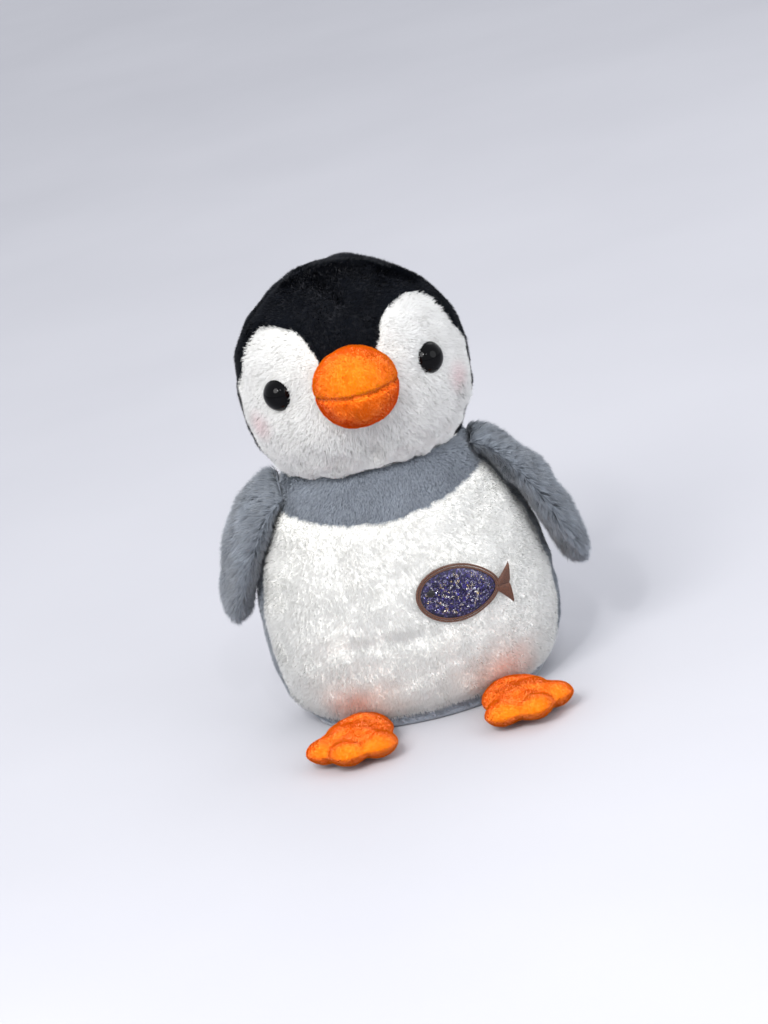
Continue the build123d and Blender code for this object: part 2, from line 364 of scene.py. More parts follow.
MOUTH_SHADE_REACH = 0.0013  # how far the painted shade along the mouth's crease reaches up and down
MOUTH_SHADE_STRENGTH = 0.6
MOUTH_SHADE_TONE = 0.45


def fibre_material(name, root, middle, tip, tints=(), mottle=0.12, sheen=0.35, mouth_shade_z=None, through=0.32):
    """Pile that lets light through: darker at the root as painted shade deep in the pile, mottled, with tints
    round given places.

    Each tint is a place, a reach, a strength and a colour; the optional height draws a darker line there,
    painted shade along a crease."""
    material, nodes, links, shader = new_material(name)
    shade = nodes.new("ShaderNodeAttribute")
    shade.attribute_name = "shade"
    colour = ramp(nodes, links, shade.outputs["Fac"], [(0.30, root), (0.72, middle), (1.0, tip)])
    patches = ramp(nodes, links, noise(nodes, links, 90.0), [(0.3, (1 - mottle,) * 3), (0.7, (1.0,) * 3)])
    colour = mixed(nodes, links, 1.0, colour, patches, "MULTIPLY")
    for place, reach, strength, tint in tints:
        amount = arithmetic(nodes, links, "MULTIPLY", near(nodes, links, place, reach), strength)
        colour = mixed(nodes, links, amount, colour, tint)
    # painted shade: a darker line along the crease of the mouth
    if mouth_shade_z is not None:
        line = near_height(nodes, links, mouth_shade_z, MOUTH_SHADE_REACH)
        amount = arithmetic(nodes, links, "MULTIPLY", line, MOUTH_SHADE_STRENGTH)
        colour = mixed(nodes, links, amount, colour, tuple(c * MOUTH_SHADE_TONE for c in root))
    links.new(colour, shader.inputs["Base Color"])
    glow = nodes.new("ShaderNodeBsdfTranslucent")
    links.new(colour, glow.inputs["Color"])
    both = nodes.new("ShaderNodeMixShader")
    both.inputs["Fac"].default_value = through
    links.new(shader.outputs["BSDF"], both.inputs[1])
    links.new(glow.outputs["BSDF"], both.inputs[2])
    links.new(both.outputs["Shader"], node_of(material, "OUTPUT_MATERIAL").inputs["Surface"])
    preset(shader, {"Roughness": 0.85, "Specular IOR Level": 0.06})
    preset(shader, {"Sheen Weight": sheen, "Sheen Roughness": 0.5})
    return material


def cloth_material(name, dark, light, scale=900.0, depth=0.25):
    """Backing cloth or short velboa: fine mottled colour and a fine felted bump."""
    material, nodes, links, shader = new_material(name)
    fine = noise(nodes, links, scale, 4.0)
    broad = noise(nodes, links, 60.0, 2.0)
    colour = ramp(nodes, links, fine, [(0.32, dark), (0.68, light)])
    shading = ramp(nodes, links, broad, [(0.3, (0.86,) * 3), (0.7, (1.0,) * 3)])
    colour = mixed(nodes, links, 1.0, colour, shading, "MULTIPLY")
    links.new(colour, shader.inputs["Base Color"])
    bump = preset(nodes.new("ShaderNodeBump"), {"Strength": depth, "Distance": 0.0004})
    links.new(fine, bump.inputs["Height"])
    links.new(bump.outputs["Normal"], shader.inputs["Normal"])
    preset(shader, {"Roughness": 0.8, "Specular IOR Level": 0.2, "Sheen Weight": 0.3})
    return material


def plastic_material(name, colour, roughness):
    """Moulded plastic with a faint uneven polish."""
    material, nodes, links, shader = new_material(name)
    lighter = tuple(min(1.0, c * 1.5) for c in colour)
    shade = ramp(nodes, links, noise(nodes, links, 300.0), [(0.35, colour), (0.65, lighter)])
    links.new(shade, shader.inputs["Base Color"])
    limits = {"To Min": roughness * 0.8, "To Max": roughness * 1.3}
    polish = preset(nodes.new("ShaderNodeMapRange"), limits)
    links.new(noise(nodes, links, 160.0), polish.inputs["Value"])
    links.new(polish.outputs["Result"], shader.inputs["Roughness"])
    shader.inputs["Specular IOR Level"].default_value = 0.09 if roughness < 0.2 else 0.4
    return material


WHITE = (0.97, 0.97, 0.95)
BLUSH = (0.90, 0.52, 0.55)
# painted bounce light: the orange feet's light, painted on the white belly near them
FOOT_BOUNCE_LIGHT = (0.96, 0.50, 0.40)

face_tints = [((side * 0.050, -0.025, 0.161), 0.0115, 0.36, BLUSH) for _, side in SIDES]
# painted bounce light round each foot on the belly pile
foot_bounce_tints = [((side * 0.041, -0.046, 0.011), 0.024, 0.62, FOOT_BOUNCE_LIGHT) for _, side in SIDES]
face_pile = fibre_material(
    "white face plush", (0.84, 0.835, 0.81), (0.94, 0.935, 0.915), WHITE, face_tints, 0.04
)
belly_pile = fibre_material(
    "white belly plush", (0.88, 0.88, 0.86), (0.95, 0.95, 0.93), WHITE, foot_bounce_tints, 0.03, through=0.42
)
grey_pile = fibre_material("grey plush", (0.22, 0.245, 0.285), (0.33, 0.365, 0.415), (0.42, 0.46, 0.52))
wing_pile = fibre_material(
    "grey long plush", (0.115, 0.13, 0.16), (0.29, 0.325, 0.375), (0.47, 0.51, 0.57), mottle=0.32
)
black_pile = fibre_material(
    "black plush", (0.004, 0.0045, 0.007), (0.008, 0.010, 0.015), (0.016, 0.019, 0.028), (), 0.5, 0.03
)
upper_orange = fibre_material(
    "orange velboa", (0.95, 0.22, 0.002), (1.0, 0.30, 0.002), (1.0, 0.38, 0.003), (), 0.12, 0.08,
    BEAK_CENTRE[2]
)
foot_orange = fibre_material(
    "orange foot velboa", (0.95, 0.21, 0.002), (1.0, 0.30, 0.002), (1.0, 0.39, 0.004), (), 0.16, 0.08
)
# the lower half of the beak in a darker copy of the orange velboa: painted shade on the beak's underside
shaded_lower_orange = fibre_material(
    "orange velboa in painted shade", (0.86, 0.12, 0.001), (0.95, 0.165, 0.001), (1.0, 0.22, 0.002), (), 0.12, 0.06,
    BEAK_CENTRE[2]
)
white_cloth = cloth_material("white knit backing", (0.80, 0.785, 0.75), (0.90, 0.89, 0.86))
grey_cloth = cloth_material("grey knit backing", (0.19, 0.21, 0.25), (0.27, 0.30, 0.345))
black_cloth = cloth_material("black knit backing", (0.004, 0.0045, 0.007), (0.009, 0.010, 0.015))
orange_cloth = cloth_material("orange velboa cloth", (0.90, 0.19, 0.005), (1.0, 0.25, 0.008), 1400.0, 0.4)
filling_cloth = cloth_material("polyester filling", (0.72, 0.72, 0.70), (0.88, 0.88, 0.86), 400.0, 0.8)
eye_plastic = plastic_material("black eye plastic", (0.0012, 0.0012, 0.0015), 0.05)
washer_plastic = plastic_material("white washer plastic", (0.62, 0.62, 0.60), 0.45)


# ---- surfaces read from the frame
def tree_of(*names):
    points, faces = [], []
    for name in names:
        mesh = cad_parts[name].data
        start = len(points)
        points += [vertex.co.copy() for vertex in mesh.vertices]
        faces += [[start + index for index in polygon.vertices] for polygon in mesh.polygons]
    return BVHTree.FromPolygons(points, faces)


def radii_from(tree, centre_z, angles):
    """The half widths and heights where rays from outside meet a turned solid, on its right."""
    found = []
    for angle in angles:
        direction = Vector((math.sin(angle), 0.012, math.cos(angle))).normalized()
        start = Vector((0, 0, centre_z)) + direction * 0.3
        hit = tree.ray_cast(start, -direction)[0]
        found.append((math.hypot(hit.x, hit.y), hit.z))
    return np.array(found)


def turned(profile, squeeze, columns):
    """Points and faces of a profile turned round Z and squeezed front to back."""
    angle = np.arange(columns) * (2 * math.pi / columns) - math.pi / 2
    radius = profile[:, :1]
    x = radius * np.cos(angle)
    y = radius * np.sin(angle) * squeeze
    z = np.repeat(profile[:, 1:], columns, axis=1)
    points = np.stack([x, y, z], axis=-1).reshape(-1, 3)
    return points, grid_faces(len(profile), columns, True)


def groove(distance, width, depth):
    """How far a seam draws the surface in, at a distance from it."""
    return -depth * np.exp(-((distance / width) ** 2))


# ---- torso
SIDE_ROWS = 96
BASE_ROWS = 34
BASE_Z = 0.0002  # the flat underside
BODY_COLUMNS = 300
SEAM_WIDTH = 0.003
CREASE_X, CREASE_Z = -0.018, 0.047
CREASE_WIDTH, CREASE_HEIGHT, CREASE_DEPTH = 0.022, 0.0035, 0.0013
torso_tree = tree_of("back_panel_left", "base_panel")
side_angles = np.radians(np.linspace(38.0, 136.5, SIDE_ROWS))
torso_side = radii_from(torso_tree, TORSO_CENTRE_Z, side_angles)
torso_side = torso_side[(torso_side[:, 1] > 0.0006) & (torso_side[:, 1] < NECK_Z - 0.0012)]
neck_turn = np.array([(0.0370, NECK_Z - 0.0004), (0.0415, NECK_Z + 0.0006), (0.0455, NECK_Z + 0.0002)])
base_radii = np.linspace(torso_side[-1, 0] - 0.0012, 0.0004, BASE_ROWS)
base_flat = np.stack([base_radii, np.full(BASE_ROWS, BASE_Z)], axis=1)
torso_profile = np.vstack([neck_turn, torso_side, base_flat])
torso_points, torso_faces = turned(torso_profile, TORSO_SQUEEZE, BODY_COLUMNS)


def belly_top(x):
    return BELLY_TOP_Z + BELLY_TOP_RADIUS - np.sqrt(BELLY_TOP_RADIUS**2 - x**2)


def sculpt_torso(points, normals):
    """Stuffed look: lumps, the seams' grooves and the crease low on the belly."""
    x, y, z = points.T
    lift = 0.0007 * waves(points, 0.045, 3) + 0.0004 * waves(points, 0.02, 4)
    front = y < FRONT_SEAM_Y
    lift += np.where(front & (z > 0.02), groove(z - belly_top(x), 0.0035, 0.0012), 0)
    lift += np.where(z > 0.02, groove(y - FRONT_SEAM_Y, SEAM_WIDTH, 0.0012), 0)
    lift += np.where(z > 0.0005, groove(z - BASE_SEAM_Z, SEAM_WIDTH, 0.0010), 0)
    below_neck = np.clip((NECK_Z - 0.002 - z) / 0.008, 0, 1)
    lift += np.where((y > 0) & (z > 0.008), groove(x, SEAM_WIDTH, 0.0011) * below_neck, 0)
    crease = np.exp(-(((x - CREASE_X) / CREASE_WIDTH) ** 2) - ((z - CREASE_Z) / CREASE_HEIGHT) ** 2)
    lift -= np.where(front, CREASE_DEPTH * crease, 0)
    lift = np.where(z < 0.0006, 0, np.maximum(lift, DEEPEST))
    return points + normals * lift[:, None]


torso_normals = vertex_normals(torso_points, torso_faces)
torso_points = sculpt_torso(torso_points, torso_normals)
torso_normals = vertex_normals(torso_points, torso_faces)
middle = torso_points[torso_faces].mean(axis=1)
is_base = middle[:, 2] < BASE_SEAM_Z
is_front = (middle[:, 1] < FRONT_SEAM_Y) & ~is_base
is_belly = is_front & (middle[:, 2] < belly_top(middle[:, 0]))
torso_masks = {
    "belly_panel": is_belly,
    "collar_panel": is_front & ~is_belly,
    "base_panel": is_base,
    "back_panel_left": ~is_front & ~is_base & (middle[:, 0] > 0),
    "back_panel_right": ~is_front & ~is_base & (middle[:, 0] <= 0),
}


def down(points, normals):
    """Pile combed downwards, with gentle swirls."""
    return np.array([0.0, 0.0, -1.0]) + 0.55 * swirls(points, 0.03, 21)


def off_fish(points):
    """Keeps pile off the sewn-down middle of the fish."""
    cos, sin = math.cos(FISH_DROOP), math.sin(FISH_DROOP)
    x, z = points[:, 0] - FISH_X, points[:, 2] - FISH_Z
    along = x * cos - z * sin
    up = x * sin + z * cos
    body = (along / (FISH_RADII[0] - 0.0003)) ** 2 + (up / (FISH_RADII[1] - 0.0003)) ** 2 < 1
    tail = (np.abs(along - 0.0225) < 0.0050) & (np.abs(up - TAIL_UP) < (along - 0.0170) * 1.05)
    return ~(body | tail)


def face_growth(root):
    """Pile longer on the lower cheeks and trimmed along the chin."""
    height = root[:, 2:]
    return 1 + 0.5 * np.clip((0.160 - height) / 0.02, 0, 1) - 0.8 * np.clip((0.139 - height) / 0.008, 0, 1)


def pile_spec(per_mm2, length, width, lean, tuft, tuft_pull, **others):
    spec = dict(per_mm2=per_mm2, length=length, width=width, lean=lean, tuft=tuft, tuft_pull=tuft_pull)
    return {**spec, **others}


BELLY_SPEC = pile_spec(6.0, 0.0025, 0.00034, 0.45, 0.0034, 0.07, uneven=0.05)
SHORT_SPEC = pile_spec(5.5, 0.0027, 0.00032, 1.0, 0.0026, 0.20)
FACE_SPEC = pile_spec(6.0, 0.0028, 0.00032, 0.75, 0.0032, 0.22, uneven=0.10, grow=face_growth)
HEAD_SPEC = pile_spec(6.0, 0.0028, 0.00032, 0.75, 0.0028, 0.22)
BASE_SPEC = pile_spec(2.2, 0.0020, 0.00036, 1.4, 0.003, 0.3, depth=0.0012)
WING_SPEC = pile_spec(7.5, 0.0062, 0.00032, 0.95, 0.0043, 0.52, depth=0.0014, uneven=0.28)
VELBOA_SPEC = pile_spec(9.0, 0.0011, 0.00022, 0.9, 0.0016, 0.25, depth=0.0005)


def ride_with(piece, body, replaced=()):
    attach(piece, body)
    if replaced:
        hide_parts(*replaced)
    return piece


torso_looks = {
    "belly_panel": (white_cloth, belly_pile, "white_plush", BELLY_SPEC, off_fish),
    "collar_panel": (grey_cloth, grey_pile, "grey_plush", SHORT_SPEC, None),
    "base_panel": (grey_cloth, grey_pile, "grey_plush", BASE_SPEC, None),
    "back_panel_left": (grey_cloth, grey_pile, "grey_plush", SHORT_SPEC, None),
    "back_panel_right": (grey_cloth, grey_pile, "grey_plush", SHORT_SPEC, None),
}
for number, (name, mask) in enumerate(torso_masks.items()):
    cloth, fibres, slot, spec, keep = torso_looks[name]
    patch = Patch(torso_points, torso_normals, torso_faces[mask])
    patch.smooth_rim(pinned=lambda points: points[:, 2] > NECK_Z - 0.0020)
    depth = 0.0 if name == "base_panel" else PILE_DEPTH
    if name == "base_panel":
        depth = np.clip((patch.points[:, 2:] - 0.0004) / 0.006, 0, 1) * PILE_DEPTH
    skin = shell(name + "_cloth", patch, cloth, depth)
    ride_with(skin, "torso", [name])
    if name == "base_panel":
        side = patch.faces[patch.points[patch.faces][:, :, 2].min(axis=1) > 0.0012]
        patch = Patch(patch.points, patch.normals, side)
    fur = pile(name + "_pile", patch, fibres, spec, down, keep, 100 + number)
    ride_with(fur, "torso")


# ---- head
head_tree = tree_of("back_head_panel_left")
head_angles = np.radians(np.concatenate([[0.8], np.linspace(2.0, 133.0, 118)]))
head_side = radii_from(head_tree, HEAD_CENTRE_Z, head_angles)
head_side = head_side[head_side[:, 1] > NECK_Z + 0.0008]
head_side[0, 0] = 0.0001  # the crown closes
neck_edge = head_side[-1]
chin_turn = np.array([(neck_edge[0] - 0.0022, NECK_Z + 0.0002), (neck_edge[0] - 0.006, NECK_Z + 0.0014)])
head_profile = np.vstack([head_side, chin_turn])
head_points, head_faces = turned(head_profile, HEAD_SQUEEZE, BODY_COLUMNS)

CHEEK_X, CHEEK_Z = 0.026, 0.146
CHEEK_WIDTH, CHEEK_HEIGHT, CHEEK_RISE = 0.018, 0.02, 0.0022
EYE_SINK, EYE_SINK_REACH = 0.0018, 0.011
LOBE_KNOTS = [(0, 0.176), (0.0115, 0.183), (0.0145, 0.1905), (0.0168, 0.196), (0.0188, 0.201),
              (0.0225, 0.2045), (0.029, 0.2066), (0.0365, 0.2066), (0.0435, 0.2015), (0.0495, 0.193),
              (0.0545, 0.180), (0.066, 0.158)]
lobe_curve = smooth_curve(LOBE_KNOTS)


def lobe_top(x):
    return np.interp(np.abs(x), lobe_curve[:, 0], lobe_curve[:, 1])


def face_side_y(z):
    """Where the face panels end at the sides, at a height."""
    return -0.006 - 0.16 * (0.180 - z)


def sculpt_head(points, normals):
    """Plump cheeks, the seams' grooves and the sunk eyes."""
    x, y, z = points.T
    front = y < 0
    on_face = front & (y < face_side_y(z) + 0.004) & (z < lobe_top(x) + 0.004)
    lift = 0.0006 * waves(points, 0.04, 31) + 0.0004 * waves(points, 0.02, 32)
    cheek = np.exp(-((np.abs(x) - CHEEK_X) / CHEEK_WIDTH) ** 2 - ((z - CHEEK_Z) / CHEEK_HEIGHT) ** 2)
    lift += np.where(front, CHEEK_RISE * cheek, 0)
    chin = np.clip((0.158 - z) / 0.02, 0, 1)
    above_neck = np.clip((z - NECK_Z - 0.002) / 0.008, 0, 1)
    lift += np.where(on_face & (z < 0.176), groove(x, 0.0040, 0.0016 + 0.0022 * chin) * above_neck, 0)
    lift += np.where(front, 0.0007 * chin * waves(points, 0.011, 33), 0)
    lift += np.where(front, groove(z - lobe_top(x), SEAM_WIDTH, 0.0010) * (np.abs(x) < 0.055), 0)
    lift += np.where(z < 0.19, groove(y - face_side_y(z), SEAM_WIDTH, 0.0010), 0)
    lift += groove(y, SEAM_WIDTH, 0.0008) * above_neck
    lift += np.where(y > 0, groove(x, SEAM_WIDTH, 0.0010) * above_neck, 0)
    lift = np.where(on_face, lift, np.maximum(lift, DEEPEST))
    eye_distance = np.hypot(np.abs(x) - EYE_X, z - EYE_Z)
    lift -= np.where(front, EYE_SINK * np.exp(-((eye_distance / EYE_SINK_REACH) ** 2)), 0)
    return points + normals * lift[:, None]


head_normals = vertex_normals(head_points, head_faces)
head_points = sculpt_head(head_points, head_normals)
head_normals = vertex_normals(head_points, head_faces)
middle = head_points[head_faces].mean(axis=1)
on_face = (middle[:, 1] < face_side_y(middle[:, 2])) & (middle[:, 2] < lobe_top(middle[:, 0]))
is_left = middle[:, 0] > 0
behind = middle[:, 1] > 0
head_masks = {
    "face_panel_left": on_face & is_left,
    "face_panel_right": on_face & ~is_left,
    "forehead_panel": ~on_face & ~behind,
    "back_head_panel_left": behind & is_left,
    "back_head_panel_right": behind & ~is_left,
}


def from_beak(points, normals):
    """Face pile: combed outwards from the beak and down, with swirls at the chin."""
    outward = unit(points - (BEAK_CENTRE + np.array([0, 0.02, 0.004])))
    chin = np.clip((0.160 - points[:, 2:]) / 0.03, 0, 1)
    swirl = swirls(points, 0.014, 41) * (0.3 + 0.35 * chin)
    flow = outward * 0.8 + np.array([0.0, 0.0, -0.45]) + swirl
    flow[:, 2] = np.where(points[:, 2] < BEAK_CENTRE[2], np.minimum(flow[:, 2], -0.35), flow[:, 2])
    return flow


def off_eyes_and_beak(points):
    """Keeps pile out of the eyes and from under the beak."""
    eye = np.hypot((np.abs(points[:, 0]) - EYE_X) / 0.0048, (points[:, 2] - EYE_Z) / 0.0070)
    beak = np.linalg.norm((points - BEAK_CENTRE) * np.array([1, 0.3, 1]), axis=1)
    return ((eye > 1) & (beak > BEAK_RADIUS * 0.82)) | (points[:, 1] > 0)


head_looks = {
    "face_panel_left": (white_cloth, face_pile, "white_plush", from_beak),
    "face_panel_right": (white_cloth, face_pile, "white_plush", from_beak),
    "forehead_panel": (black_cloth, black_pile, "black_plush", down),
    "back_head_panel_left": (black_cloth, black_pile, "black_plush", down),
    "back_head_panel_right": (black_cloth, black_pile, "black_plush", down),
}
for number, (name, mask) in enumerate(head_masks.items()):
    cloth, fibres, slot, comb = head_looks[name]
    patch = Patch(head_points, head_normals, head_faces[mask])
    patch.smooth_rim(pinned=lambda points: points[:, 2] < NECK_Z + 0.0030)
    skin = shell(name + "_cloth", patch, cloth)
    ride_with(skin, "head", [name])
    spec = FACE_SPEC if name.startswith("face") else HEAD_SPEC
    fur = pile(name + "_pile", patch, fibres, spec, comb, off_eyes_and_beak, 200 + number)
    ride_with(fur, "head")


# ---- beak
def ball(rows, columns):
    polar = np.linspace(0.012, math.pi - 0.012, rows)
    angle = np.arange(columns) * (2 * math.pi / columns) - math.pi / 2
    x = np.sin(polar)[:, None] * np.cos(angle)
    y = np.sin(polar)[:, None] * np.sin(angle)
    z = np.repeat(np.cos(polar)[:, None], columns, axis=1)
    return np.stack([x, y, z], axis=-1).reshape(-1, 3), grid_faces(rows, columns, True)


beak_unit, beak_faces = ball(120, 160)
mouth = beak_unit[:, 2] * BEAK_RADIUS


def along_beak(points, normals):
    return np.array([0.0, -1.0, -0.6]) + 0.2 * swirls(points, 0.02, 53)


puff = 1 + 0.012 * waves(beak_unit, 0.9, 51) + 0.006 * waves(beak_unit, 0.35, 52)
in_front = np.clip(-beak_unit[:, 1] + 0.35, 0, 1)
puff -= 0.085 * in_front * np.exp(-((mouth / 0.0012) ** 2))
puff -= 0.012 * np.exp(-((mouth / 0.005) ** 2))
puff += 0.011 * np.exp(-((mouth / 0.0045) ** 2)) * waves(beak_unit * np.array([1.0, 1.0, 0.3]), 0.16, 56)
beak_points = BEAK_CENTRE + beak_unit * np.array([1.02, 1.0, 0.965]) * (BEAK_RADIUS * puff)[:, None]
beak_normals = vertex_normals(beak_points, beak_faces)
middle = beak_points[beak_faces].mean(axis=1)
shown = middle[:, 1] < -0.0405
for name, mask, fibres in (
    ("beak_upper_panel", middle[:, 2] >= BEAK_CENTRE[2], upper_orange),
    # the lower half takes the darker copy of the orange, painted shade
    ("beak_lower_panel", middle[:, 2] < BEAK_CENTRE[2], shaded_lower_orange),
):
    patch = Patch(beak_points, beak_normals, beak_faces[mask & shown]).smooth_rim(2)
    skin = shell(name + "_cloth", patch, orange_cloth, 0.0005)
    replaced = [name, "beak_filling"] if name == "beak_upper_panel" else [name]
    ride_with(skin, "head", replaced)
    fur = pile(name + "_pile", patch, fibres, VELBOA_SPEC, along_beak, None, 301)
    ride_with(fur, "head")


# ---- eyes, washers and the two big fillings, as the CAD has them
for node_name, material in (
    ("left_eye", eye_plastic),
    ("right_eye", eye_plastic),
    ("left_eye_washer", washer_plastic),
    ("right_eye_washer", washer_plastic),
    ("torso_filling", filling_cloth),
    ("head_filling", filling_cloth),
):
    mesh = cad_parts[node_name].data
    mesh.materials.clear()
    mesh.materials.append(material)
    for polygon in mesh.polygons if material is eye_plastic else ():
        polygon.use_smooth = True


# ---- wings
WING_LINE = [(0.0475, 0.1245), (0.0540, 0.1215), (0.0605, 0.1152), (0.0665, 0.1070), (0.0735, 0.0950),
             (0.0797, 0.0800), (0.0842, 0.0660), (0.0874, 0.0555), (0.0888, 0.0505)]
WING_HALF_WIDTH = [0.0125, 0.0150, 0.0178, 0.0203, 0.0222, 0.0215, 0.0185, 0.0125, 0.0040]
WING_HALF_THICK = [0.0030, 0.0040, 0.0048, 0.0056, 0.0064, 0.0064, 0.0060, 0.0045, 0.0012]
WING_REACH = {1.0: 1.0, -1.0: 0.93}  # in the photo the right one looks shorter than its CAD
WING_ROWS = 90
WING_COLUMNS = 40


def wing_line(side):
    """The middle of a wing in front view, from the shoulder to the tip."""
    line = smooth_curve(WING_LINE, WING_ROWS)
    return line[0] + (line - line[0]) * WING_REACH[side]


def wing_half(side, outward, back):
    """One face of a wing as points and faces: outward is +1 for the outer face, -1 for the inner."""
    line = wing_line(side)
    width = smooth_curve([[w] for w in WING_HALF_WIDTH], WING_ROWS)[:, 0]
    thick = smooth_curve([[t] for t in WING_HALF_THICK], WING_ROWS)[:, 0]
    along = unit(np.gradient(line, axis=0))
    across = np.stack([-along[:, 1], along[:, 0]], axis=1)
    angle = np.linspace(0, math.pi, WING_COLUMNS)
    u = -np.cos(angle)
    bulge = np.sin(angle) ** 1.25
    offset = outward * thick[:, None] * bulge
    x = line[:, :1] + across[:, :1] * offset
    z = line[:, 1:] + across[:, 1:] * offset
    y = width[:, None] * u - 0.002
    points = np.stack([side * x, y, z], axis=-1).reshape(-1, 3)
    faces = grid_faces(WING_ROWS, WING_COLUMNS, False)
    if side * outward < 0:
        faces = faces[:, ::-1]
    normals = vertex_normals(points, faces)
    lift = 0.0009 * waves(points, 0.018, 61) * np.tile(np.sin(angle) ** 0.7, WING_ROWS)
    points = swung(points + normals * lift[:, None], back)
    return points, vertex_normals(points, faces), faces


def swung(points, back):
    """Points turned backwards round the line through both shoulders."""
    cos, sin = math.cos(back), math.sin(back)
    y, z = points[:, 1], points[:, 2] - WING_HINGE_Z
    return np.stack([points[:, 0], y * cos - z * sin, WING_HINGE_Z + y * sin + z * cos], axis=1)


def to_wing_tip(side, back):
    line = wing_line(side)
    tangents = unit(np.gradient(line, axis=0))

    def comb(points, normals):
        level = swung(points, -back)
        row = np.argmin(np.abs(level[:, 2:] - line[None, :, 1]), axis=1)
        backwards = np.full(len(row), math.sin(back))
        along = np.stack([side * tangents[row, 0], backwards, tangents[row, 1]], axis=1)
        return along + 0.35 * swirls(points, 0.012, 71)
    return comb


for side_name, side in SIDES:
    back = WING_BACK[side_name]
    for face_name, outward in (("outer_panel", 1.0), ("inner_panel", -1.0)):
        name = f"{side_name}_wing_{face_name}"
        patch = Patch(*wing_half(side, outward, back))
        skin = shell(name + "_cloth", patch, grey_cloth, 0.0010)
        fur = pile(name + "_pile", patch, wing_pile, WING_SPEC, to_wing_tip(side, back), None, 400)
        replaced = [name, f"{side_name}_wing_filling"] if outward > 0 else [name]
        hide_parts(*replaced)
        for piece in (skin, fur):
            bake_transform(piece)


# ---- feet
HEEL_FORWARD = 0.011
HEEL_RADIUS = 0.0170
TOE_RADIUS = 0.0098
TOES = ((math.radians(-40.0), 0.0205), (0.0, 0.0225), (math.radians(40.0), 0.0205))  # angle and reach
FOOT_HALF_HEIGHT = 0.0068
FOOT_ROWS = 34
FOOT_COLUMNS = 200


def foot_inside(points):
    """Signed depth inside the foot's outline: round heel and three toes, softly joined."""
    depths = [HEEL_RADIUS - np.hypot(points[:, 0], points[:, 1] - HEEL_FORWARD)]
    for angle, reach in TOES:
        direction = np.array([math.sin(angle), math.cos(angle)])
        offset = points - np.array([0, HEEL_FORWARD])
        along = np.clip(offset @ direction, 0, reach)
        depths.append(TOE_RADIUS - np.linalg.norm(offset - along[:, None] * direction, axis=1))
    soft = 0.0016
    return soft * np.log(sum(np.exp(depth / soft) for depth in depths))


def foot_half(side, upward):
    """The top or the sole of a foot: a cushion over the outline, flat at its rim."""
    angle = np.linspace(0, 2 * math.pi, FOOT_COLUMNS, endpoint=False)
    rays = np.stack([np.sin(angle), np.cos(angle)], axis=1)
    centre = np.array([0, HEEL_FORWARD + 0.006])
    low, high = np.zeros(FOOT_COLUMNS), np.full(FOOT_COLUMNS, 0.05)
    for _ in range(30):
        half = 0.5 * (low + high)
        inside = foot_inside(centre + rays * half[:, None]) > 0
        low, high = np.where(inside, half, low), np.where(inside, high, half)
    t = np.sin(np.linspace(0, 1, FOOT_ROWS) * math.pi / 2)[::-1]
    t[-1] = 0.004
    plan = centre + rays[None] * (low[None, :, None] * t[:, None, None])
    flat = plan.reshape(-1, 2)
    depth = np.maximum(foot_inside(flat), 0)
    height = FOOT_HALF_HEIGHT * (1 - np.clip(1 - depth / 0.0115, 0, 1) ** 2.2) ** 0.62
    level = np.c_[flat, np.zeros(len(flat))]
    height *= 1 + 0.09 * waves(level, 0.013, 81) + 0.02 * waves(level, 0.006, 82)
    cos, sin = math.cos(TOES_OUT), math.sin(TOES_OUT)
    u, v = flat[:, 0], flat[:, 1]
    x = FOOT_HINGE[0] + u * cos + v * sin
    y = FOOT_HINGE[1] + u * sin - v * cos
    curl = 0.0016 * np.clip((v - 0.02) / 0.02, 0, 1) ** 2
    z = FOOT_HINGE[2] + curl + (height if upward else -height * 0.92)
    points = np.stack([side * x, y, z], axis=1)
    faces = grid_faces(FOOT_ROWS, FOOT_COLUMNS, True)
    probe = vertex_normals(points, faces)[:, 2].mean()
    if (probe > 0) != upward:
        faces = faces[:, ::-1]
    return points, vertex_normals(points, faces), faces


def toes_forward(side):
    return np.array([side * math.sin(TOES_OUT), -math.cos(TOES_OUT), 0.0])


def to_toes(side):
    def comb(points, normals):
        return toes_forward(side) + 0.4 * swirls(points, 0.02, 91)
    return comb


for side_name, side in SIDES:
    for face_name, upward in (("top_panel", True), ("sole_panel", False)):
        name = f"{side_name}_foot_{face_name}"
        patch = Patch(*foot_half(side, upward))
        skin = shell(name + "_cloth", patch, orange_cloth, 0.0004, 0.0007)
        fur = pile(name + "_pile", patch, foot_orange, VELBOA_SPEC, to_toes(side), None, 500)
        replaced = [name, f"{side_name}_foot_filling"] if upward else [name]
        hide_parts(*replaced)
        for piece in (skin, fur):
            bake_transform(piece)


# ---- fish
belly_tree = tree_of("belly_panel")


def on_belly(x, z, lift):
    """Points lifted off the belly at given places in front view, with the belly's normals."""
    points, normals = [], []
    for px, pz in zip(x, z):
        hit, normal, _, _ = belly_tree.ray_cast(Vector((px, -0.2, pz)), Vector((0, 1, 0)))
        points.append(hit)
        normals.append(normal)
    points, normals = np.array(points), unit(np.array(normals))
    return points + normals * np.reshape(lift, (-1, 1)), normals


